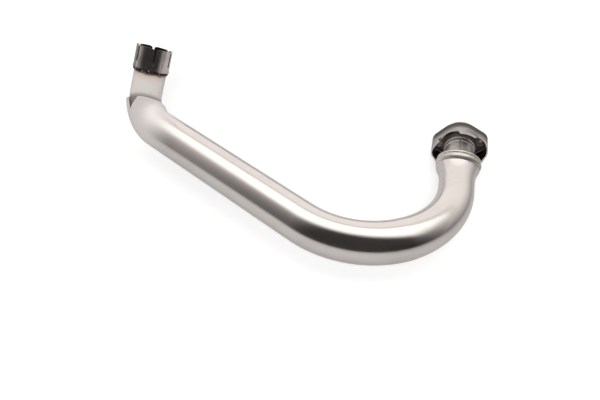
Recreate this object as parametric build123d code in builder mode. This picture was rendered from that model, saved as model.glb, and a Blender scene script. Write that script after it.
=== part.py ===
from build123d import *
import os
from math import cos, degrees, radians, sin, tan

# Motorcycle exhaust header: a double-wall stainless pipe with a long run, a wide bend to the cylinder
# head and a tight elbow up to the tail stub.
# Origin: centre of the gas pipe's end face at the head. +Y leaves the pipe towards the cylinder head,
# +Z is up, and the run, the wide bend and the head leg lie in the XY plane.

# Outer shell and gas pipe sections
shell_od = 38.0
shell_head_od = 33.0
shell_wall = 1.2
tube_gap = 1.9
tail_od = shell_od - 2 * (shell_wall + tube_gap)
head_od = 26.4
pipe_wall = 1.2
neck_wall = 1.5
neck_length = 44.0

# Centreline
bend_radius = 89.3
bend_turn = 117.2
taper_start = 93.5
run_length = 189.0
elbow_radius = 31.0
elbow_turn = 82.0
elbow_lean = 30.0
head_leg_plain = 10.0

# Clearances
fit_gap = 0.05
seat_gap = 0.4
turn_gap = 0.7

# Flare at the shell's head end, cut on a slant, and the beaded ring that closes it on the gas pipe
flare_length = 23.6
flare_od = 42.0
slant = 24.0
ring_step = 0.5
bead_length = 6.0
bead_rise = 1.3
rim_length = 3.2
rim_rise = 0.5
rim_nose_step = 1.2

# Two half collars on the neck, in three steps that narrow away from the flange
collar_lip_od = 30.4
collar_lip_length = 8.4
collar_mid_od = 29.2
collar_mid_length = 4.6
collar_tail_od = 28.2
collar_tail_length = 14.7
collar_split = 5.0
lip_split_turn = 18.0
tail_split_turn = -6.0

# Loose head flange: a two-lug plate with a deep skirt round it, open towards the pipe
flange_floor = 8.0
flange_depth = 23.0
flange_wall = 2.2
flange_corner = 1.5
flange_front_height = 42.8
stud_spacing = 40.8
stud_hole = 6.2
lug_radius = 11.0
lug_setback = 4.0
lug_wall = 1.2
rim_spread = 4.4
lug_spread = 0.2
flange_turn = 14.0
stud_scallop = 20.0
stud_scallop_turn = 38.0
crown_scallop_width = 22.0
crown_scallop_depth = 8.5
crown_scallop_turn = 128.0

# Gasket ring on the gas pipe's head end
gasket_ring_od = 31.6
gasket_ring_length = 7.6

# Shell mouth at the elbow, cut on a slant and slit
mouth_turn = 62.0
mouth_lean = 16.0
notch_lead = 12.0
notch_trail = 1.5
notch_depth = 14.0
notch_turn = 80.0

# Slotted sleeve on the tail stub
stub_length = 27.6
sleeve_overlap = 4.4
sleeve_length = 21.6
sleeve_rise = 1.7
sleeve_od = tail_od + 2 * sleeve_rise
link_rise = 0.1
link_od = tail_od + 2 * link_rise
link_gap = 0.25
sleeve_lip_rise = 0.4
sleeve_lip_od = sleeve_od + 2 * sleeve_lip_rise
sleeve_lip_length = 1.8
slot_count = 6
slot_width = 2.0
slot_eye = 3.6
slot_length = 16.4
slot_turn = -9.0
slot_mouth_width = 6.0
slot_mouth_depth = 1.8
weld_height = 3.0
weld_bulge = 0.5

# Mesh ring that keeps the gas pipe central in the shell
mesh_length = 14.0

# Stations on the head leg, from the end face back towards the bend
flange_front = -gasket_ring_length - seat_gap
flange_seat = flange_front - flange_floor
flange_rim = flange_front - flange_depth
collar_front = flange_seat - seat_gap
lip_back = collar_front - collar_lip_length
mid_back = lip_back - collar_mid_length
collar_back = mid_back - collar_tail_length
ring_length = bead_length + rim_length
shell_end = collar_back - (ring_length + seat_gap) / cos(radians(slant))
flare_start = shell_end - flare_length
bend_end = flare_start - head_leg_plain
neck_back = -neck_length

# Radii used by more than one piece
shell_inner = shell_od / 2 - shell_wall
shell_head_inner = shell_head_od / 2 - shell_wall
tail_radius = tail_od / 2
head_radius = head_od / 2
flare_radius = flare_od / 2
sleeve_bore = tail_radius + fit_gap
overrun = 1.0

# Centreline points and directions
up = Vector(0, 0, 1)
bend_centre = Vector(-bend_radius, bend_end, 0)


def bend_point(back):
    """Point of the wide bend, by its angle back from the head end."""
    turn = radians(back)
    return bend_centre + Vector(cos(turn), -sin(turn), 0) * bend_radius


def bend_heading(back):
    """Direction of the centreline in the wide bend, towards the head."""
    turn = radians(back)
    return Vector(sin(turn), cos(turn), 0)


run_heading = bend_heading(bend_turn)
run_head = bend_point(bend_turn)
run_tail = run_head - run_heading * run_length
run_side = up.cross(run_heading)
elbow_rise = up * cos(radians(elbow_lean)) + run_side * sin(radians(elbow_lean))
elbow_centre = run_tail + elbow_rise * elbow_radius


def elbow_point(turned):
    """Point of the elbow, by its angle from the tail end of the run."""
    turn = radians(turned)
    return elbow_centre - (elbow_rise * cos(turn) + run_heading * sin(turn)) * elbow_radius


def elbow_heading(turned):
    """Direction of the centreline in the elbow, towards the tail."""
    turn = radians(turned)
    return elbow_rise * sin(turn) - run_heading * cos(turn)


slant_heading = Vector(0, cos(radians(slant)), sin(radians(slant)))
slant_plane = Plane(origin=(0, shell_end, 0), x_dir=(1, 0, 0), z_dir=slant_heading)
stub_heading = elbow_heading(elbow_turn)
stub_start = elbow_point(elbow_turn)
stub_end = stub_start + stub_heading * stub_length
elbow_side = run_heading.cross(elbow_rise)
sleeve_foot = stub_end - stub_heading * sleeve_overlap
sleeve_plane = Plane(origin=sleeve_foot, x_dir=elbow_side, z_dir=stub_heading)
mouth_centre = elbow_point(mouth_turn)
mouth_square = elbow_heading(mouth_turn)
mouth_heading = mouth_square * cos(radians(mouth_lean)) - elbow_side * sin(radians(mouth_lean))
mouth_plane = Plane(origin=mouth_centre, x_dir=elbow_side.cross(mouth_heading), z_dir=mouth_heading)


def straight_leg(start, heading, length, radius, mode):
    """Round bar from a point along a direction."""
    with BuildSketch(Plane(origin=start, z_dir=heading)) as profile:
        Circle(radius)
    extrude(profile.sketch, amount=length, mode=mode)


def elbow_leg(turned, radius, mode):
    """Round bar along the elbow, from the run to an angle."""
    with BuildLine() as path:
        ThreePointArc(elbow_point(0), elbow_point(turned / 2), elbow_point(turned))
    with BuildSketch(Plane(origin=elbow_point(0), z_dir=elbow_heading(0))) as profile:
        Circle(radius)
    sweep(profile.sketch, path=path.wire(), mode=mode)


def bend_leg(radius, end_radius, mode):
    """Round bar along the wide bend, even at first and then tapering to its head end."""
    taper_back = bend_turn - degrees(taper_start / bend_radius)
    even_middle = (bend_turn + taper_back) / 2
    with BuildLine() as even_path:
        ThreePointArc(bend_point(bend_turn), bend_point(even_middle), bend_point(taper_back))
    with BuildSketch(Plane(origin=run_head, z_dir=run_heading)) as even_profile:
        Circle(radius)
    sweep(even_profile.sketch, path=even_path.wire(), mode=mode)
    with BuildLine() as taper_path:
        ThreePointArc(bend_point(taper_back), bend_point(taper_back / 2), bend_point(0))
    with BuildSketch(Plane(origin=bend_point(taper_back), z_dir=bend_heading(taper_back))) as wide_profile:
        Circle(radius)
    with BuildSketch(Plane(origin=bend_point(0), z_dir=bend_heading(0))) as narrow_profile:
        Circle(end_radius)
    sweep([wide_profile.sketch, narrow_profile.sketch], path=taper_path.wire(), multisection=True, mode=mode)


def head_leg(radius, end_radius, mode):
    """Round bar along the head leg: even, then flaring like a trumpet, then even past the slanted end."""
    past_end = shell_end + flare_od
    with BuildSketch(Plane.XY) as profile:
        with BuildLine():
            Polyline(
                (end_radius, past_end),
                (0, past_end),
                (0, bend_end),
                (radius, bend_end),
                (radius, flare_start),
            )
            TangentArc((radius, flare_start), (end_radius, shell_end), tangent=(0, 1))
            Line((end_radius, shell_end), (end_radius, past_end))
        make_face()
    revolve(profile.sketch, axis=Axis.Y, mode=mode)


# Outer shell, in four lengths: the elbow, with its mouth cut on a slant and slit
with BuildPart() as shell_elbow:
    elbow_leg(elbow_turn, shell_od / 2, Mode.ADD)
    elbow_leg(elbow_turn, shell_inner, Mode.SUBTRACT)
    with BuildSketch(mouth_plane) as mouth_cut:
        Circle(shell_od)
    extrude(mouth_cut.sketch, amount=2 * shell_od, mode=Mode.SUBTRACT)
    mouth_out = (mouth_centre - elbow_centre).normalized()
    notch_out = elbow_side * sin(radians(notch_turn)) + mouth_out * cos(radians(notch_turn))
    notch_top = shell_od / 2 * sin(radians(mouth_lean)) + overrun
    notch_across = mouth_square.cross(notch_out)
    with BuildSketch(Plane(origin=mouth_centre, x_dir=notch_across, z_dir=notch_out)) as notch:
        with BuildLine():
            Polyline(
                (-notch_trail, notch_top),
                (notch_lead, notch_top),
                (0, notch_top - notch_depth),
                close=True,
            )
        make_face()
    extrude(notch.sketch, amount=shell_od, mode=Mode.SUBTRACT)
shell_elbow.part.label = "shell_elbow"

# The shell's straight run
with BuildPart() as shell_run:
    straight_leg(run_tail, run_heading, run_length, shell_od / 2, Mode.ADD)
    straight_leg(run_tail, run_heading, run_length, shell_inner, Mode.SUBTRACT)
shell_run.part.label = "shell_run"

# The shell's wide bend
with BuildPart() as shell_bend:
    bend_leg(shell_od / 2, shell_head_od / 2, Mode.ADD)
    bend_leg(shell_inner, shell_head_inner, Mode.SUBTRACT)
shell_bend.part.label = "shell_bend"

# The shell's head leg, flared and cut on a slant
with BuildPart() as shell_head:
    head_leg(shell_head_od / 2, flare_radius, Mode.ADD)
    head_leg(shell_head_inner, flare_radius - shell_wall, Mode.SUBTRACT)
    with BuildSketch(slant_plane) as head_cut:
        Circle(flare_od)
    extrude(head_cut.sketch, amount=2 * flare_od, mode=Mode.SUBTRACT)
shell_head.part.label = "shell_head"

# Gas pipe inside the shell: from the neck through the bend to the tail end of the run
with BuildPart() as gas_pipe:
    gas_leg = neck_back - bend_end
    straight_leg(bend_point(0), bend_heading(0), gas_leg, head_radius, Mode.ADD)
    bend_leg(tail_radius, head_radius, Mode.ADD)
    straight_leg(run_tail, run_heading, run_length, tail_radius, Mode.ADD)
    straight_leg(bend_point(0), bend_heading(0), gas_leg, head_radius - pipe_wall, Mode.SUBTRACT)
    bend_leg(tail_radius - pipe_wall, head_radius - pipe_wall, Mode.SUBTRACT)
    straight_leg(run_tail, run_heading, run_length, tail_radius - pipe_wall, Mode.SUBTRACT)
gas_pipe.part.label = "gas_pipe"

# Neck: heavier tube at the head end of the gas pipe
with BuildPart() as neck_tube:
    with BuildSketch(Plane(origin=(0, neck_back, 0), x_dir=(1, 0, 0), z_dir=(0, 1, 0))):
        Circle(head_radius)
        Circle(head_radius - neck_wall, mode=Mode.SUBTRACT)
    extrude(amount=neck_length)
neck_tube.part.label = "neck_tube"

# Tail elbow and tail stub of the gas pipe
with BuildPart() as tail_elbow:
    elbow_leg(elbow_turn, tail_radius, Mode.ADD)
    elbow_leg(elbow_turn, tail_radius - pipe_wall, Mode.SUBTRACT)
tail_elbow.part.label = "tail_elbow"

with BuildPart() as tail_stub:
    with BuildSketch(Plane(origin=stub_start, z_dir=stub_heading)):
        Circle(tail_radius)
        Circle(tail_radius - pipe_wall, mode=Mode.SUBTRACT)
    extrude(amount=stub_length)
tail_stub.part.label = "tail_stub"

# Mesh ring between the gas pipe and the shell, at the tail end of the run
with BuildPart() as mesh_ring:
    with BuildSketch(Plane(origin=run_tail, z_dir=run_heading)):
        Circle(shell_inner - fit_gap)
        Circle(tail_radius + fit_gap, mode=Mode.SUBTRACT)
    extrude(amount=mesh_length)
mesh_ring.part.label = "mesh_ring"

# Closing ring: beaded and rimmed outside, against the shell's slanted end, bored for the gas pipe
with BuildPart() as closing_ring:
    bead_start = flare_radius - ring_step
    rim_nose = bead_start - rim_nose_step
    ring_normal = slant_plane.x_dir.cross(slant_heading)
    with BuildSketch(Plane(origin=slant_plane.origin, x_dir=slant_plane.x_dir, z_dir=ring_normal)):
        with BuildLine():
            Polyline((rim_nose, ring_length), (0, ring_length), (0, 0), (bead_start, 0))
            ThreePointArc(
                (bead_start, 0),
                (bead_start + bead_rise, bead_length / 2),
                (bead_start, bead_length),
            )
            ThreePointArc(
                (bead_start, bead_length),
                (bead_start + rim_rise, bead_length + rim_length / 2),
                (rim_nose, ring_length),
            )
        make_face()
    revolve(axis=Axis(slant_plane.origin, slant_heading))
    with BuildSketch(Plane(origin=(0, bend_end, 0), x_dir=(1, 0, 0), z_dir=(0, 1, 0))) as pipe_bore:
        Circle(head_radius + fit_gap)
    extrude(pipe_bore.sketch, amount=-bend_end, mode=Mode.SUBTRACT)
closing_ring.part.label = "closing_ring"

# Half collars: each step is a half ring, and the lip's split stands further round than the others'
collar_bore = head_radius + fit_gap


def collar_step(split_turn, half_turn, outer_radius, back, front):
    """One step of a half collar: a half ring between two stations, less the split."""
    start = radians(90 - split_turn - collar_split / 2 + half_turn)
    step_plane = Plane(
        origin=(0, 0, 0),
        x_dir=(cos(start), 0, sin(start)),
        z_dir=(-sin(start), 0, cos(start)),
    )
    with BuildSketch(step_plane) as profile:
        with BuildLine():
            Polyline(
                (collar_bore, back),
                (outer_radius, back),
                (outer_radius, front),
                (collar_bore, front),
                close=True,
            )
        make_face()
    revolve(profile.sketch, axis=Axis.Y, revolution_arc=180 - collar_split)


def half_collar(half_turn):
    """Three steps in a row, the last one ending on a slant against the closing ring."""
    slant_reach = collar_tail_od / 2 * tan(radians(slant)) + overrun
    collar_step(lip_split_turn, half_turn, collar_lip_od / 2, lip_back, collar_front)
    collar_step(tail_split_turn, half_turn, collar_mid_od / 2, mid_back, lip_back)
    collar_step(tail_split_turn, half_turn, collar_tail_od / 2, collar_back - slant_reach, mid_back)
    split(bisect_by=slant_plane.offset(ring_length + seat_gap))


with BuildPart() as collar_left:
    half_collar(180)
collar_left.part.label = "collar_left"

with BuildPart() as collar_right:
    half_collar(0)
collar_right.part.label = "collar_right"

# Loose flange: its bore turns on the gas pipe, and its skirt is scalloped at the crown and over one stud
def lug_outline(plane, round_radius, lug_size):
    """Two lugs on a round middle, with straight flanks."""
    with BuildSketch(plane) as outline:
        Circle(round_radius)
        with GridLocations(stud_spacing - 2 * lug_setback, 0, 2, 1):
            Circle(lug_size)
        make_hull()
    return outline.sketch


with BuildPart() as head_flange:
    lug_way = (cos(radians(flange_turn)), 0, sin(radians(flange_turn)))
    front_plane = Plane(origin=(0, flange_front, 0), x_dir=lug_way, z_dir=(0, 1, 0))
    seat_plane = front_plane.offset(-flange_floor)
    rim_plane = front_plane.offset(-flange_depth)
    front_radius = flange_front_height / 2
    rim_radius = front_radius + rim_spread
    rim_lug = lug_radius + lug_spread
    plate = lug_outline(seat_plane, front_radius, lug_radius)
    extrude(plate, amount=flange_floor)
    fillet(head_flange.faces().sort_by(Axis.Y)[-1].outer_wire().edges(), radius=flange_corner)
    loft([lug_outline(rim_plane, rim_radius, rim_lug), plate], ruled=True)
    dish_foot = lug_outline(seat_plane, front_radius - flange_wall, lug_radius - lug_wall)
    dish_mouth = lug_outline(rim_plane, rim_radius - flange_wall, rim_lug - lug_wall)
    loft([dish_mouth, dish_foot], ruled=True, mode=Mode.SUBTRACT)
    with BuildSketch(front_plane) as holes:
        Circle(head_radius + turn_gap)
        with GridLocations(stud_spacing, 0, 2, 1):
            Circle(stud_hole / 2)
    extrude(holes.sketch, amount=-flange_depth, mode=Mode.SUBTRACT)
    rim_reach = stud_spacing / 2 - lug_setback + rim_lug + overrun
    stud_scallop_way = (cos(radians(stud_scallop_turn)), 0, sin(radians(stud_scallop_turn)))
    with BuildSketch(Plane(origin=rim_plane.origin, x_dir=(0, 1, 0), z_dir=stud_scallop_way)) as stud_cut:
        Circle(stud_scallop / 2)
    extrude(stud_cut.sketch, amount=rim_reach, mode=Mode.SUBTRACT)
    crown_way = (cos(radians(crown_scallop_turn)), 0, sin(radians(crown_scallop_turn)))
    with BuildSketch(Plane(origin=rim_plane.origin, x_dir=(0, 1, 0), z_dir=crown_way)) as crown_cut:
        Ellipse(crown_scallop_depth, crown_scallop_width / 2)
    extrude(crown_cut.sketch, amount=rim_reach, mode=Mode.SUBTRACT)
head_flange.part.label = "head_flange"

# Gasket ring on the head end of the gas pipe
with BuildPart() as gasket_ring:
    with BuildSketch(Plane(origin=(0, -gasket_ring_length, 0), x_dir=(1, 0, 0), z_dir=(0, 1, 0))):
        Circle(gasket_ring_od / 2)
        Circle(head_radius + fit_gap, mode=Mode.SUBTRACT)
    extrude(amount=gasket_ring_length)
gasket_ring.part.label = "gasket_ring"

# Slotted sleeve on the tail stub
with BuildPart() as slotted_sleeve:
    with BuildSketch(sleeve_plane) as sleeve_profile:
        Circle(sleeve_od / 2)
    extrude(sleeve_profile.sketch, amount=sleeve_length)
    with BuildSketch(sleeve_plane) as lip_profile:
        Circle(sleeve_lip_od / 2)
    extrude(lip_profile.sketch, amount=sleeve_lip_length)
    with BuildSketch(sleeve_plane) as bore_profile:
        Circle(sleeve_bore)
    extrude(bore_profile.sketch, amount=sleeve_length, mode=Mode.SUBTRACT)
    with BuildSketch(sleeve_plane.offset(sleeve_overlap)) as link_profile:
        Circle(link_od / 2 + link_gap)
    extrude(link_profile.sketch, amount=sleeve_length, mode=Mode.SUBTRACT)
    slot_foot = sleeve_length - slot_length + slot_eye / 2
    for slot in range(slot_count):
        turn = radians(slot_turn + slot * 360 / slot_count)
        slot_out = sleeve_plane.x_dir * cos(turn) + sleeve_plane.y_dir * sin(turn)
        with BuildSketch(Plane(origin=sleeve_foot, x_dir=stub_heading, z_dir=slot_out)) as slot_profile:
            with Locations((slot_foot, 0)):
                Circle(slot_eye / 2)
                Rectangle(sleeve_length, slot_width, align=(Align.MIN, Align.CENTER))
            with BuildLine():
                Polyline(
                    (sleeve_length + slot_mouth_depth, -slot_mouth_width),
                    (sleeve_length + slot_mouth_depth, slot_mouth_width),
                    (sleeve_length - slot_mouth_depth, 0),
                    close=True,
                )
            make_face()
        extrude(slot_profile.sketch, amount=sleeve_od, mode=Mode.SUBTRACT)
slotted_sleeve.part.label = "slotted_sleeve"

# Weld bead under the sleeve
with BuildPart() as sleeve_weld:
    weld_reach = sleeve_od / 2 - tail_radius
    with BuildSketch(Plane(origin=sleeve_foot, x_dir=elbow_side, z_dir=-sleeve_plane.y_dir)):
        with BuildLine():
            Polyline(
                (tail_radius + fit_gap, -weld_height),
                (tail_radius + fit_gap, -fit_gap),
                (tail_radius + weld_reach, -fit_gap),
            )
            SagittaArc(
                (tail_radius + weld_reach, -fit_gap),
                (tail_radius + fit_gap, -weld_height),
                weld_bulge,
            )
        make_face()
    revolve(axis=Axis(stub_end, stub_heading))
sleeve_weld.part.label = "sleeve_weld"

os.makedirs("parts", exist_ok=True)
export_step(shell_elbow.part, "parts/shell_elbow.step")
export_step(shell_run.part, "parts/shell_run.step")
export_step(shell_bend.part, "parts/shell_bend.step")
export_step(shell_head.part, "parts/shell_head.step")
export_step(gas_pipe.part, "parts/gas_pipe.step")
export_step(neck_tube.part, "parts/neck_tube.step")
export_step(tail_elbow.part, "parts/tail_elbow.step")
export_step(tail_stub.part, "parts/tail_stub.step")
export_step(mesh_ring.part, "parts/mesh_ring.step")
export_step(closing_ring.part, "parts/closing_ring.step")
export_step(collar_left.part, "parts/collar_left.step")
export_step(collar_right.part, "parts/collar_right.step")
export_step(head_flange.part, "parts/head_flange.step")
export_step(gasket_ring.part, "parts/gasket_ring.step")
export_step(slotted_sleeve.part, "parts/slotted_sleeve.step")
export_step(sleeve_weld.part, "parts/sleeve_weld.step")
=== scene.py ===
import math

import bmesh
import bpy
from mathutils import Matrix, Vector


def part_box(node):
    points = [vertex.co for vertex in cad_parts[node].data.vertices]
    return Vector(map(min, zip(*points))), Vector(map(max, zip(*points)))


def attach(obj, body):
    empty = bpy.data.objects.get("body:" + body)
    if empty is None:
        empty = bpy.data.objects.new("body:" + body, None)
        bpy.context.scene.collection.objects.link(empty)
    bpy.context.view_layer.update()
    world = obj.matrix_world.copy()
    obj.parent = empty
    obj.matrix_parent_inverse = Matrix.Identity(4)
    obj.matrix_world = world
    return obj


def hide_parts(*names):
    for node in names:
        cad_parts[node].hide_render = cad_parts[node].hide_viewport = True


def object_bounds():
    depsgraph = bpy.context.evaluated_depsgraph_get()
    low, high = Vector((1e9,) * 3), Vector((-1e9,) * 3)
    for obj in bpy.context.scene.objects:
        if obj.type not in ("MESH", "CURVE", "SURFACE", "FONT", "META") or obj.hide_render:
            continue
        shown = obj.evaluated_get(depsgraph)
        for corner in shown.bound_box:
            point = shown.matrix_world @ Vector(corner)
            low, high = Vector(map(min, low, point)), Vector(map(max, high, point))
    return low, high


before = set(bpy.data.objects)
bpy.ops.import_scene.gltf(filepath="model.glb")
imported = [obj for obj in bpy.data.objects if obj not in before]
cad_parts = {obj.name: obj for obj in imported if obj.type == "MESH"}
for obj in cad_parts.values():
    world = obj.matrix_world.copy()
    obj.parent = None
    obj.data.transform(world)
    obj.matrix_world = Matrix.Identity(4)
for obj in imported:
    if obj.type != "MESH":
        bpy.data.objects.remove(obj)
cad_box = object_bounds()

# Motorcycle exhaust header: a satin double-wall pipe with its head flange and tail sleeve.
# All lengths are metres, in the part's frame: +Y leaves the pipe towards the cylinder head, +Z is up.

MM = 0.001

# Tube sections
shell_radius = 19.0 * MM
shell_head_radius = 16.5 * MM
flare_radius = 21.0 * MM
shell_wall = 1.2 * MM
tail_radius = 15.9 * MM
tail_wall = 1.2 * MM

# Centreline
bend_radius = 89.3 * MM
bend_turn = math.radians(117.2)
taper_start = 93.5 * MM / bend_radius
run_length = 189.0 * MM
elbow_radius = 31.0 * MM
elbow_turn = math.radians(82.0)
elbow_lean = math.radians(30.0)
stub_length = 27.6 * MM

# Flared head end
slant = math.radians(24.0)
shell_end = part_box("shell_head")[1].y - flare_radius * math.tan(slant)
flare_length = 23.6 * MM
flare_start = shell_end - flare_length
bend_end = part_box("shell_bend")[1].y

# Shell mouth at the elbow
mouth_turn = math.radians(62.0)
mouth_lean = math.radians(16.0)
notch_turn = math.radians(80.0)
notch_lead = 12.0 * MM
notch_trail = 1.5 * MM
notch_depth = 14.0 * MM
notch_over = 1.0 * MM
notch_near = 1.6 * shell_radius

# Flange studs and rim
stud_reach = 20.4 * MM
lug_turn = math.radians(14.0)
hole_radius = 3.2 * MM
rim_from = -19.0 * MM

# Tail sleeve and its weld
sleeve_overlap = 4.4 * MM
weld_height = 3.0 * MM
weld_reach = 1.7 * MM
weld_start = math.radians(-58.0)
weld_ripples = 46
weld_lumps = 22
weld_even, ripple_size, lump_size, heap_size = 0.70, 0.12, 0.10, 0.85

# Softened edges of the fittings
sleeve_edge = 0.25 * MM
ring_edge = 0.3 * MM
collar_edge = 0.2 * MM
flange_edge = 0.5 * MM

# Mesh fineness
ring_sides = 96
elbow_steps = 40
stub_steps = elbow_steps // 2
run_steps = 48
bend_steps = 84
flare_steps = 28
plain_steps = flare_steps // 4
weld_sides = 12
weld_steps = 5 * weld_ripples
weld_merge = 0.02 * MM
copy_merge = 0.002 * MM
copy_flat = math.radians(0.2)
pipe_sharp = math.radians(35)
weld_sharp = math.radians(80)
fitting_sharp = math.radians(32)

# Centreline points and directions
up = Vector((0, 0, 1))
forward = Vector((0, 1, 0))
run_heading = Vector((math.sin(bend_turn), math.cos(bend_turn), 0))
bend_centre = Vector((-bend_radius, bend_end, 0))
run_head = bend_centre + Vector((math.cos(bend_turn), -math.sin(bend_turn), 0)) * bend_radius
run_tail = run_head - run_heading * run_length
run_side = up.cross(run_heading)
elbow_rise = up * math.cos(elbow_lean) + run_side * math.sin(elbow_lean)
elbow_side = run_heading.cross(elbow_rise)
elbow_centre = run_tail + elbow_rise * elbow_radius


def elbow_point(turned):
    """Point of the elbow's centreline, by its angle from the tail end of the run."""
    return elbow_centre - (elbow_rise * math.cos(turned) + run_heading * math.sin(turned)) * elbow_radius


def elbow_heading(turned):
    """Direction of the elbow's centreline, towards the tail."""
    return elbow_rise * math.sin(turned) - run_heading * math.cos(turned)


stub_heading = elbow_heading(elbow_turn)
stub_start = elbow_point(elbow_turn)
stub_end = stub_start + stub_heading * stub_length
sleeve_foot = stub_end - stub_heading * sleeve_overlap
mouth_centre = elbow_point(mouth_turn)
mouth_square = elbow_heading(mouth_turn)
mouth_heading = mouth_square * math.cos(mouth_lean) - elbow_side * math.sin(mouth_lean)


class Socket:
    """A shader value: Python's operators on it add Math nodes."""

    def __init__(self, shader, link):
        self.shader = shader
        self.link = link

    def __add__(self, other):
        return self.shader.maths("ADD", self, other)

    __radd__ = __add__

    def __sub__(self, other):
        return self.shader.maths("SUBTRACT", self, other)

    def __rsub__(self, other):
        return self.shader.maths("SUBTRACT", other, self)

    def __mul__(self, other):
        return self.shader.maths("MULTIPLY", self, other)

    __rmul__ = __mul__

    def between(self, low, high):
        """0 below low, 1 above high, smooth between them."""
        settings = {"interpolation_type": "SMOOTHSTEP"}
        sockets = {"Value": self, "From Min": low, "From Max": high}
        return self.shader.node("ShaderNodeMapRange", settings, sockets)


def opaque(colour):
    """What a colour socket takes: a link as it is, or three numbers with a full alpha."""
    return colour if isinstance(colour, Socket) else (*colour, 1.0)


class Shader:
    """The node tree of a material or of the world, built one node at a time."""

    # The Mix node's colour sockets go by number, because its other types share their names
    mix_factor, mix_first, mix_second, mix_result = 0, 6, 7, 2

    def __init__(self, tree):
        self.tree = tree
        self.tree.nodes.clear()

    def node(self, kind, settings=None, sockets=None, output=0):
        """Any node: its settings come first, then the values or links of its sockets."""
        node = self.tree.nodes.new(kind)
        for name, value in (settings or {}).items():
            setattr(node, name, value)
        for name, value in (sockets or {}).items():
            if isinstance(value, Socket):
                self.tree.links.new(value.link, node.inputs[name])
            else:
                node.inputs[name].default_value = value
        return Socket(self, node.outputs[output]) if len(node.outputs) else None

    def maths(self, operation, *values):
        return self.node("ShaderNodeMath", {"operation": operation}, dict(enumerate(values)))

    def place(self):
        return self.node("ShaderNodeTexCoord", output="Object")

    def flow(self):
        """The unrolled place on a pipe, from its mesh's flow layer."""
        return self.node("ShaderNodeAttribute", {"attribute_name": "flow"}, output="Vector")

    def part(self, place, axis):
        return self.node("ShaderNodeSeparateXYZ", None, {"Vector": place}, output=axis)

    def reach(self, place, direction):
        """How far a place lies along a direction."""
        settings = {"operation": "DOT_PRODUCT"}
        return self.node("ShaderNodeVectorMath", settings, {0: place, 1: direction}, output="Value")

    def stretch(self, place, scale):
        return self.node("ShaderNodeMapping", None, {"Vector": place, "Scale": scale})

    def noise(self, place, scale=1.0, detail=3.0, roughness=0.55):
        sockets = {"Vector": place, "Scale": scale, "Detail": detail, "Roughness": roughness}
        return self.node("ShaderNodeTexNoise", None, sockets)

    def mix(self, factor, first, second):
        """A colour that goes from the first to the second."""
        sockets = {self.mix_factor: factor, self.mix_first: opaque(first), self.mix_second: opaque(second)}
        return self.node("ShaderNodeMix", {"data_type": "RGBA"}, sockets, self.mix_result)

    def bump(self, height, strength, distance):
        sockets = {"Height": height, "Strength": strength, "Distance": distance}
        return self.node("ShaderNodeBump", None, sockets)

    def metal(self, colour, roughness, normal, metallic=1.0):
        sockets = {"Base Color": opaque(colour), "Roughness": roughness, "Metallic": metallic}
        sockets["Normal"] = normal
        surface = self.node("ShaderNodeBsdfPrincipled", None, sockets)
        self.node("ShaderNodeOutputMaterial", None, {"Surface": surface})


def new_material(name):
    material = bpy.data.materials.new(name)
    material.use_nodes = True
    return material, Shader(material.node_tree)


# Finishes

steel_pale = (0.80, 0.745, 0.715)
steel_grey = (0.74, 0.69, 0.66)
steel_blasted = (0.88, 0.825, 0.80)
tint_straw = (0.84, 0.71, 0.62)
tint_brown = (0.10, 0.07, 0.055)
# Painted shade on the stub next to the shell's mouth
mouth_shade = (0.30, 0.27, 0.25)
# Painted shade on the flange's far side
far_side_shade = (0.075, 0.066, 0.06)
scale_brown = (0.10, 0.08, 0.07)
scale_black = (0.03, 0.026, 0.024)
spatter_pale = (0.78, 0.73, 0.69)
wire_grey = (0.35, 0.33, 0.32)

# Where the finishes change: along the shell from its tail and down the stub from the weld; and where painted
# shade falls: off the shell's mouth, and along the head's axis on the flange's far side
polish_span = (40.0 * MM, 85.0 * MM)
brushed_span = (360.0 * MM, 430.0 * MM)
brown_span = (-3.0 * MM, 1.0 * MM)
straw_span = (-1.0 * MM, 7.0 * MM)
mouth_span = (0.0, 6.0 * MM)
tint_wander = 4.0 * MM
# Painted shade: where the flange starts to darken towards the head, over what length, and how unevenly
flange_shade_start = -22.5 * MM
shade_length = 6.0 * MM
shade_wander = 6.0 * MM

# Which share of a noise counts as a patch of its own
smudge_share = (0.35, 0.75)
cloud_share = (0.35, 0.65)
spatter_share = (0.62, 0.68)


def satin_steel():
    """Stainless outer tube: matt at the elbow, polished from the run on, with a fine grain around it."""
    matt_roughness, polish_gain, brushed_loss, grain_loss, smudge_loss = 0.50, 0.37, 0.12, 0.03, 0.05
    matt_metallic = 0.36
    material, shader = new_material("satin_stainless")
    flow = shader.flow()
    along = shader.part(flow, "Z")
    grain = shader.noise(shader.stretch(flow, (60.0, 60.0, 5000.0)), detail=2.0)
    smudge = shader.noise(flow, scale=34.0, detail=5.0, roughness=0.62)
    scuff = shader.noise(shader.stretch(flow, (900.0, 900.0, 40.0)), detail=2.0)
    polish = along.between(*polish_span)
    brushed = along.between(*brushed_span)
    colour = shader.mix(smudge.between(*smudge_share), steel_pale, steel_grey)
    colour = shader.mix(polish, steel_blasted, colour)
    roughness = matt_roughness - polish * polish_gain + brushed * brushed_loss
    roughness = roughness + grain * grain_loss + smudge * smudge_loss
    metallic = matt_metallic + polish * (1.0 - matt_metallic)
    bump = shader.bump(grain * 0.4 + scuff * 0.25, strength=0.04, distance=0.2 * MM)
    shader.metal(colour, roughness, bump, metallic)
    return material


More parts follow.
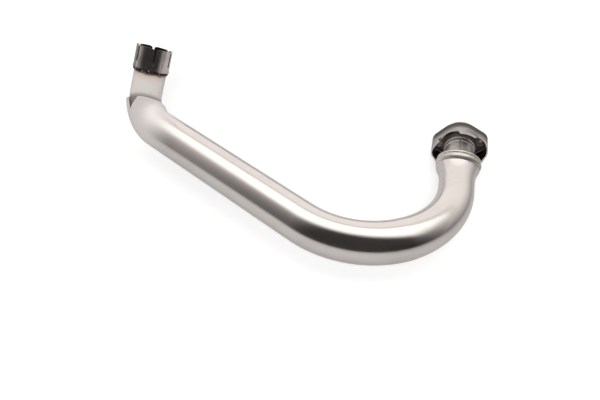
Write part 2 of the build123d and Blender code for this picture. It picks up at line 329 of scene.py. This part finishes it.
def tinted_and_shaded_steel():
    """Stainless below the weld: straw and brown heat tint that fades down the stub, and painted shade at the
    mouth.
    """
    even_roughness, wander_loss = 0.40, 0.12
    material, shader = new_material("tinted_stainless")
    flow = shader.flow()
    wander = shader.noise(flow, scale=120.0)
    from_weld = shader.part(flow, "Z") - wander * tint_wander
    colour = shader.mix(from_weld.between(*straw_span), tint_straw, steel_blasted)
    colour = shader.mix(from_weld.between(*brown_span), tint_brown, colour)
    # Painted shade: the stub darkens towards where it enters the shell's mouth
    sockets = {0: shader.place(), 1: mouth_centre}
    from_mouth = shader.node("ShaderNodeVectorMath", {"operation": "SUBTRACT"}, sockets)
    clear = shader.reach(from_mouth, mouth_heading)
    colour = shader.mix(clear.between(*mouth_span), mouth_shade, colour)
    grain = shader.noise(shader.stretch(flow, (80.0, 80.0, 4000.0)), detail=2.0)
    bump = shader.bump(grain, strength=0.08, distance=0.2 * MM)
    shader.metal(colour, even_roughness + wander * wander_loss, bump, metallic=0.18)
    return material


def turned_steel(name, pale, dark, smooth, rough, metallic=1.0, shade_from=None):
    """Plain steel fittings: cloudy oxide over a fine grain.

    Where a place along the pipe's axis is given, the colour darkens towards the head from there: painted
    shade.
    """
    material, shader = new_material(name)
    place = shader.place()
    cloud = shader.noise(place, scale=90.0, detail=5.0, roughness=0.6)
    speck = shader.noise(place, scale=900.0, detail=2.0)
    colour = shader.mix(cloud.between(*cloud_share), pale, dark)
    # Painted shade on the far side, towards the head
    if shade_from is not None:
        along = shader.part(place, "Y") - cloud * shade_wander
        colour = shader.mix(along.between(shade_from, shade_from + shade_length), colour, far_side_shade)
    bump = shader.bump(cloud * 0.6 + speck * 0.4, strength=0.25, distance=0.3 * MM)
    shader.metal(colour, smooth + cloud * (rough - smooth), bump, metallic)
    return material


def weld_scale():
    """Black weld scale with bright beads of spatter."""
    scale_roughness, spatter_gain = 0.42, 0.2
    material, shader = new_material("burnt_weld")
    place = shader.place()
    cloud = shader.noise(place, scale=350.0, detail=4.0, roughness=0.6)
    spatter = shader.noise(place, scale=620.0, detail=1.0).between(*spatter_share)
    colour = shader.mix(cloud.between(*cloud_share), scale_brown, scale_black)
    colour = shader.mix(spatter, colour, spatter_pale)
    bump = shader.bump(cloud * 0.7 + spatter * 0.6, strength=0.8, distance=0.6 * MM)
    shader.metal(colour, scale_roughness - spatter * spatter_gain, bump)
    return material


def woven_mesh():
    """Knitted wire of the ring between the tubes."""
    material, shader = new_material("mesh_steel")
    sockets = {"Vector": shader.place(), "Scale": 600.0}
    weave = shader.node("ShaderNodeTexWave", {"wave_type": "BANDS"}, sockets)
    shader.metal(wire_grey, 0.45, shader.bump(weave, strength=0.6, distance=0.4 * MM))
    return material


satin = satin_steel()
stub_finish = tinted_and_shaded_steel()
# Soot inside the sleeve, and painted shade in the flange's stud holes
soot_and_shade_finish = turned_steel("soot_and_painted_shade_steel", (0.16, 0.14, 0.13), (0.07, 0.06, 0.055), 0.40, 0.60)
sleeve_finish = turned_steel("sleeve_steel", (0.72, 0.665, 0.64), (0.58, 0.52, 0.49), 0.15, 0.26)
ring_finish = turned_steel("ring_steel", (0.78, 0.73, 0.69), (0.56, 0.505, 0.47), 0.28, 0.44, metallic=0.85)
collar_finish = turned_steel("collar_steel", (0.52, 0.48, 0.45), (0.34, 0.30, 0.28), 0.36, 0.54, metallic=0.7)
flange_finish = turned_steel("flange_steel", (0.50, 0.465, 0.44), (0.34, 0.31, 0.29), 0.26, 0.42,
                             metallic=0.8, shade_from=flange_shade_start)
# Painted shade on the flange's faces that face its axis or back towards the pipe
flange_shade_finish = turned_steel("flange_painted_shade", (0.26, 0.235, 0.22), (0.13, 0.115, 0.105), 0.32, 0.50)
# Edges: real wear, and a painted highlight, pale and less metallic so that the key lights them
wear_and_highlight_finish = turned_steel("worn_edge_and_painted_highlight", (0.80, 0.76, 0.73), (0.62, 0.57, 0.54), 0.28, 0.40, metallic=0.3)
weld_finish = weld_scale()
mesh_finish = woven_mesh()

# Places in a piece's list of finishes
outside, edges, inside, stud_holes = range(4)


# Pipes made by pushing a ring along the centreline


def first_ring(bm, centre, heading, side, radius, along):
    """A ring of vertices square to the heading. The flow layer holds its unrolled place on the pipe."""
    flow = bm.verts.layers.float_vector.new("flow")
    across = heading.cross(side)
    matrix = Matrix((side, across, heading)).transposed().to_4x4()
    matrix.translation = centre
    ring = bmesh.ops.create_circle(bm, cap_ends=False, radius=radius, segments=ring_sides, matrix=matrix)
    for vert in ring["verts"]:
        out = vert.co - centre
        vert[flow] = Vector((out.dot(side), out.dot(across), along))
    return ring["verts"]


def push(bm, ring, distance):
    """Extrudes a ring in place and marks the new one as further along the pipe."""
    flow = bm.verts.layers.float_vector["flow"]
    members = set(ring)
    rim = {edge for vert in ring for edge in vert.link_edges if edge.other_vert(vert) in members}
    made = bmesh.ops.extrude_edge_only(bm, edges=list(rim))["geom"]
    new_ring = [item for item in made if isinstance(item, bmesh.types.BMVert)]
    for vert in new_ring:
        vert[flow] = vert[flow] + Vector((0, 0, distance))
    return new_ring


def push_straight(bm, ring, heading, length, steps):
    for _ in range(steps):
        ring = push(bm, ring, length / steps)
        bmesh.ops.translate(bm, verts=ring, vec=heading * length / steps)
    return ring


def push_round(bm, ring, centre, axis, angle, radius, steps):
    turn = Matrix.Rotation(angle / steps, 3, axis)
    for _ in range(steps):
        ring = push(bm, ring, radius * angle / steps)
        bmesh.ops.rotate(bm, verts=ring, cent=centre, matrix=turn)
    return ring


def resize(bm, ring, factor):
    """Scales a ring about its own centre."""
    centre = sum((vert.co for vert in ring), Vector()) / len(ring)
    bmesh.ops.scale(bm, verts=ring, vec=(factor, factor, factor), space=Matrix.Translation(-centre))


def cut_off(bm, point, outward):
    """Removes what lies beyond a plane."""
    everything = bm.verts[:] + bm.edges[:] + bm.faces[:]
    bmesh.ops.bisect_plane(bm, geom=everything, plane_co=point, plane_no=outward, clear_outer=True)


def make_piece(bm, name, body, finishes, sharp):
    """A piece that rides on a body, smooth except where faces meet at more than the sharp angle."""
    mesh = bpy.data.meshes.new(name)
    bm.to_mesh(mesh)
    bm.free()
    for finish in finishes:
        mesh.materials.append(finish)
    mesh.shade_smooth()
    mesh.set_sharp_from_angle(angle=sharp)
    piece = bpy.data.objects.new(name, mesh)
    bpy.context.scene.collection.objects.link(piece)
    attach(piece, body)
    return piece


def thicken(piece, wall, rim_finish=outside):
    """Gives a skin its wall, inwards."""
    solid = piece.modifiers.new("wall", "SOLIDIFY")
    solid.thickness = wall
    solid.offset = -1.0
    solid.use_even_offset = True
    solid.material_offset_rim = rim_finish


def soften(piece, width):
    bevel = piece.modifiers.new("edge", "BEVEL")
    bevel.width = width
    bevel.segments = 2
    bevel.limit_method = "ANGLE"
    bevel.angle_limit = fitting_sharp
    bevel.material = edges
    bevel.harden_normals = True


def make_shell():
    """The outer tube in one sweep, from the elbow's mouth to the slanted end of the flare."""
    bm = bmesh.new()
    ring = first_ring(bm, stub_start, -stub_heading, elbow_side, shell_radius, 0.0)
    ring = push_round(bm, ring, elbow_centre, elbow_side, elbow_turn, elbow_radius, elbow_steps)
    ring = push_straight(bm, ring, run_heading, run_length, run_steps)
    even_steps = round(bend_steps * taper_start / bend_turn)
    ring = push_round(bm, ring, bend_centre, up, taper_start, bend_radius, even_steps)
    taper_steps = bend_steps - even_steps
    taper_turn = bend_turn - taper_start
    narrowing = (shell_radius - shell_head_radius) / taper_steps
    radius = shell_radius
    for _ in range(taper_steps):
        ring = push_round(bm, ring, bend_centre, up, taper_turn / taper_steps, bend_radius, 1)
        resize(bm, ring, (radius - narrowing) / radius)
        radius -= narrowing
    ring = push_straight(bm, ring, forward, flare_start - bend_end, plain_steps)
    swell = flare_radius - shell_head_radius
    curl = (flare_length**2 + swell**2) / (2 * swell)
    for step in range(1, flare_steps + 1):
        ring = push_straight(bm, ring, forward, flare_length / flare_steps, 1)
        reach = flare_length * step / flare_steps
        wide = shell_head_radius + curl - math.sqrt(curl**2 - reach**2)
        resize(bm, ring, wide / radius)
        radius = wide
    push_straight(bm, ring, forward, flare_radius * math.tan(slant) + shell_wall, plain_steps)
    cut_off(bm, Vector((0, shell_end, 0)), Vector((0, math.cos(slant), math.sin(slant))))
    cut_off(bm, mouth_centre, mouth_heading)
    cut_notch(bm)
    bmesh.ops.recalc_face_normals(bm, faces=bm.faces[:])
    piece = make_piece(bm, "shell_skin", "header", (satin, wear_and_highlight_finish), pipe_sharp)
    # The wall's cut rims take the edge finish: wear, and a painted highlight
    thicken(piece, shell_wall, rim_finish=edges)
    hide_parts("shell_elbow", "shell_run", "shell_bend", "shell_head")


def cut_notch(bm):
    """The slit in the mouth's edge, a narrow V open towards the tail."""
    mouth_out = (mouth_centre - elbow_centre).normalized()
    out = elbow_side * math.sin(notch_turn) + mouth_out * math.cos(notch_turn)
    across = mouth_square.cross(out)
    top = shell_radius * math.sin(mouth_lean) + notch_over
    foot = mouth_centre + mouth_square * (top - notch_depth)
    lead_side = (across * notch_lead + mouth_square * notch_depth).cross(out).normalized()
    trail_side = out.cross(mouth_square * notch_depth - across * notch_trail).normalized()
    for plane in (lead_side, trail_side):
        near = []
        for face in bm.faces:
            away = face.calc_center_median() - foot
            if away.dot(out) > 0 and away.length < notch_near:
                near.append(face)
        borders = {edge for face in near for edge in face.edges}
        corners = {vert for face in near for vert in face.verts}
        geom = list(corners) + list(borders) + near
        bmesh.ops.bisect_plane(bm, geom=geom, plane_co=foot, plane_no=plane)
    slit = []
    for face in bm.faces:
        centre = face.calc_center_median()
        away = centre - foot
        between_sides = away.dot(lead_side) < 0 and away.dot(trail_side) < 0
        if between_sides and away.dot(out) > 0 and (centre - mouth_centre).length < notch_near:
            slit.append(face)
    bmesh.ops.delete(bm, geom=slit, context="FACES")


def make_tail_pipe():
    """The inner tube where it leaves the shell: its elbow and its straight stub."""
    bm = bmesh.new()
    ring = first_ring(bm, stub_end, -stub_heading, elbow_side, tail_radius, -sleeve_overlap - weld_height)
    ring = push_straight(bm, ring, -stub_heading, stub_length, stub_steps)
    push_round(bm, ring, elbow_centre, elbow_side, elbow_turn, elbow_radius, elbow_steps)
    bmesh.ops.recalc_face_normals(bm, faces=bm.faces[:])
    piece = make_piece(bm, "tail_pipe", "header", (stub_finish,), pipe_sharp)
    thicken(piece, tail_wall)
    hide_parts("tail_elbow", "tail_stub")


def weld_size(step):
    """Size of the bead's section at a step around the stub.

    Its ripples, its lumps and its one heap close on themselves.
    """
    around = math.tau * step / weld_steps
    ripple = math.sin(around * weld_ripples)
    lump = math.sin(around * weld_lumps)
    heap = max(0.0, math.sin(around - weld_start)) ** 3
    return weld_even + ripple_size * ripple + lump_size * lump + heap_size * heap


def make_weld():
    """Rippled bead around the stub, under the sleeve."""
    bm = bmesh.new()
    bm.verts.layers.float_vector.new("flow")
    half_height = stub_heading * weld_height / 2
    section = (elbow_side * weld_reach, half_height, stub_heading.cross(elbow_side))
    matrix = Matrix(section).transposed().to_4x4()
    matrix.translation = sleeve_foot + elbow_side * tail_radius - half_height
    ring = bmesh.ops.create_circle(bm, cap_ends=False, radius=1.0, segments=weld_sides, matrix=matrix)
    ring = ring["verts"]
    turn = Matrix.Rotation(math.tau / weld_steps, 3, stub_heading)
    size = weld_size(0)
    resize(bm, ring, size)
    for step in range(1, weld_steps + 1):
        ring = push(bm, ring, 0.0)
        bmesh.ops.rotate(bm, verts=ring, cent=sleeve_foot, matrix=turn)
        resize(bm, ring, weld_size(step) / size)
        size = weld_size(step)
    bmesh.ops.remove_doubles(bm, verts=bm.verts[:], dist=weld_merge)
    bmesh.ops.recalc_face_normals(bm, faces=bm.faces[:])
    piece = make_piece(bm, "weld_bead", "header", (weld_finish,), weld_sharp)
    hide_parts("sleeve_weld")


# Fittings dressed from their CAD nodes

back_facing = -0.6
axis_facing = -0.5


def dress_copy(node, name, body, finishes, edge, axis_point=Vector(), axis=forward,
               holes=(), rim=-math.inf):
    """A copy of a CAD node with softened edges.

    The finishes are those of the outside, the edges, what faces the axis or back along it, and the holes.
    What faces back from further than the rim's place along the axis is finished as the edges are, a painted
    highlight.
    """
    bm = bmesh.new()
    bm.from_mesh(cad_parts[node].data)
    bmesh.ops.remove_doubles(bm, verts=bm.verts[:], dist=copy_merge)
    bmesh.ops.dissolve_limit(bm, angle_limit=copy_flat, verts=bm.verts[:], edges=bm.edges[:])
    piece = make_piece(bm, name, body, finishes, fitting_sharp)
    for polygon in piece.data.polygons:
        out = polygon.center - axis_point
        along = out.dot(axis)
        out -= axis * along
        faces_back = polygon.normal.dot(axis) < back_facing
        faces_axis = polygon.normal.dot(out.normalized()) < axis_facing
        polygon.material_index = inside if faces_axis or faces_back else outside
        # Painted highlight: the rim's back faces take the edge finish
        if faces_back and along < rim:
            polygon.material_index = edges
        # Painted shade in the stud holes
        if any((out - hole).length < hole_radius for hole in holes):
            polygon.material_index = stud_holes
    soften(piece, edge)
    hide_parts(node)


def dress_node(node, finish):
    """A CAD node that keeps its own mesh, with a better finish."""
    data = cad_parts[node].data
    data.materials.clear()
    data.materials.append(finish)


make_shell()
make_tail_pipe()
make_weld()
sleeve_finishes = (sleeve_finish, wear_and_highlight_finish, soot_and_shade_finish)
dress_copy("slotted_sleeve", "clamp_sleeve", "header", sleeve_finishes, sleeve_edge,
           axis_point=stub_end, axis=stub_heading)
ring_finishes = (ring_finish, ring_finish, ring_finish)
dress_copy("closing_ring", "beaded_ring", "header", ring_finishes, ring_edge)
collar_finishes = (collar_finish, wear_and_highlight_finish, collar_finish)
dress_copy("collar_left", "half_collar_left", "header", collar_finishes, collar_edge)
dress_copy("collar_right", "half_collar_right", "header", collar_finishes, collar_edge)
# Flange: painted shade on its inward and back faces and in its stud holes
flange_finishes = (flange_finish, wear_and_highlight_finish, flange_shade_finish, soot_and_shade_finish)
stud = Vector((math.cos(lug_turn), 0, math.sin(lug_turn))) * stud_reach
dress_copy("head_flange", "lug_flange", "flange", flange_finishes, flange_edge,
           holes=(stud, -stud), rim=rim_from)
dress_node("gas_pipe", ring_finish)
dress_node("neck_tube", collar_finish)
dress_node("gasket_ring", collar_finish)
dress_node("mesh_ring", mesh_finish)


# Studio

white = (1.0, 1.0, 1.0)
black = (0.0, 0.0, 0.0)

# Camera
camera_place = Vector((-0.0658, -0.5208, 0.3788))
camera_right = Vector((0.9716, 0.2315, 0.0486))
camera_up = Vector((-0.1961, 0.6737, 0.7125))
camera_back = Vector((0.1322, -0.7018, 0.7000))
camera_lens = 36.0
camera_sensor = 36.0
camera_near = 0.01
front = Vector((camera_back.x, camera_back.y, 0)).normalized()
beside = up.cross(front)

# Floor: white to the camera, with a painted pool of light around the part that fades with distance
floor_half = 6.0
floor_drop = 0.1 * MM
floor_shift = (0.17, 0.08, 0.0)
floor_span = (0.10, 0.60)
floor_painted_pool, floor_past_pool = (0.50, 0.50, 0.50), (0.26, 0.26, 0.26)
seen_near, seen_gain = 0.57, 0.42
gloss_painted_pool, gloss_pool_fade = 0.10, 0.06

# Room: pale at the sides and behind, dim in front and low on the right
room_dim = (0.042, 0.040, 0.039)
room_pale = (1.03, 1.00, 0.98)
room_span = (math.radians(47), math.radians(137))
shade_span = (0.15, 0.75)
shade_rise = (0.0, 0.62)
shade_depth = 0.42

# Softbox: spans are turns from the front over the top, and its ends by their reach to the side
box_white = (1.45, 1.44, 1.42)
box_skew = math.radians(15)
box_ends = (0.45, 0.85)
box_front = (math.radians(74), math.radians(96))
box_back = (math.radians(127), math.radians(130))
border_grey = (0.66, 0.64, 0.625)
border_back = (math.radians(133), math.radians(137))

# Key light
key_left = math.radians(6)
key_rise = math.radians(44)
key_reach = 1.2
key_size = 0.5
key_energy = 11.0


def make_camera():
    data = bpy.data.cameras.new("camera")
    data.lens = camera_lens
    data.sensor_width = camera_sensor
    data.clip_start = camera_near
    camera = bpy.data.objects.new("camera", data)
    matrix = Matrix((camera_right, camera_up, camera_back)).transposed().to_4x4()
    matrix.translation = camera_place
    camera.matrix_world = matrix
    bpy.context.scene.collection.objects.link(camera)
    bpy.context.scene.camera = camera


def make_floor():
    """Pale floor, white to the camera, which keeps the soft shadow, and a painted pool of light around the
    part.
    """
    bm = bmesh.new()
    bmesh.ops.create_grid(bm, x_segments=1, y_segments=1, size=floor_half)
    bmesh.ops.translate(bm, verts=bm.verts[:], vec=(0, 0, cad_box[0][2] - floor_drop))
    mesh = bpy.data.meshes.new("floor")
    bm.to_mesh(mesh)
    bm.free()
    material, shader = new_material("floor")
    seen = shader.node("ShaderNodeLightPath", output="Is Camera Ray")
    glossed = shader.node("ShaderNodeLightPath", output="Is Glossy Ray")
    offset = shader.node("ShaderNodeMapping", None, {"Vector": shader.place(), "Location": floor_shift})
    distance = shader.node("ShaderNodeVectorMath", {"operation": "LENGTH"}, {0: offset}, output="Value")
    # Painted pool of light: the floor's colour, and its glow to glossy rays, fade with distance from a spot
    # near the part
    away = distance.between(*floor_span)
    diffuse = shader.node("ShaderNodeBsdfDiffuse", None, {"Color": shader.mix(away, floor_painted_pool, floor_past_pool)})
    strength = seen * (seen_near + away * seen_gain) + glossed * (gloss_painted_pool - away * gloss_pool_fade)
    glow = shader.node("ShaderNodeEmission", None, {"Color": opaque(white), "Strength": strength})
    both = shader.node("ShaderNodeAddShader", None, {0: diffuse, 1: glow})
    shader.node("ShaderNodeOutputMaterial", None, {"Surface": both})
    mesh.materials.append(material)
    floor = bpy.data.objects.new("floor", mesh)
    bpy.context.scene.collection.objects.link(floor)


def make_studio():
    """A long white softbox overhead with a grey border behind it, in a pale room that is dim in front."""
    world = bpy.data.worlds.new("studio")
    bpy.context.scene.world = world
    world.use_nodes = True
    shader = Shader(world.node_tree)
    ray = shader.node("ShaderNodeTexCoord", output="Generated")
    ahead = shader.reach(ray, front)
    aside = shader.reach(ray, beside)
    height = shader.reach(ray, up)
    bearing = shader.maths("ABSOLUTE", shader.maths("ARCTAN2", aside, ahead))
    room = shader.mix(bearing.between(*room_span), room_dim, room_pale)
    low_right = aside.between(*shade_span) * (1.0 - height.between(*shade_rise))
    room = shader.mix(low_right * shade_depth, room, black)
    box_ahead = shader.reach(ray, front * math.cos(box_skew) - beside * math.sin(box_skew))
    swing = shader.maths("ARCTAN2", height, box_ahead)
    box = shader.mix(shader.maths("ABSOLUTE", aside).between(*box_ends), box_white, room)
    light = shader.mix(swing.between(*box_front), room, box)
    light = shader.mix(swing.between(*box_back), light, border_grey)
    light = shader.mix(swing.between(*border_back), light, room)
    seen = shader.node("ShaderNodeLightPath", output="Is Camera Ray")
    light = shader.mix(seen, light, white)
    glow = shader.node("ShaderNodeBackground", None, {"Color": light, "Strength": 1.0})
    shader.node("ShaderNodeOutputWorld", None, {"Surface": glow})


def make_key():
    """A broad soft key, high and left of the camera, for the matt surfaces alone."""
    data = bpy.data.lights.new("key", "AREA")
    data.size = key_size
    data.energy = key_energy
    key = bpy.data.objects.new("key", data)
    key.visible_glossy = False
    level = front * math.cos(key_left) - beside * math.sin(key_left)
    towards = level * math.cos(key_rise) + up * math.sin(key_rise)
    place = run_head + towards * key_reach
    key.matrix_world = Matrix.LocRotScale(place, towards.to_track_quat("Z", "Y"), None)
    bpy.context.scene.collection.objects.link(key)


make_camera()
make_floor()
make_studio()
make_key()
bpy.context.scene.view_settings.view_transform = "Standard"
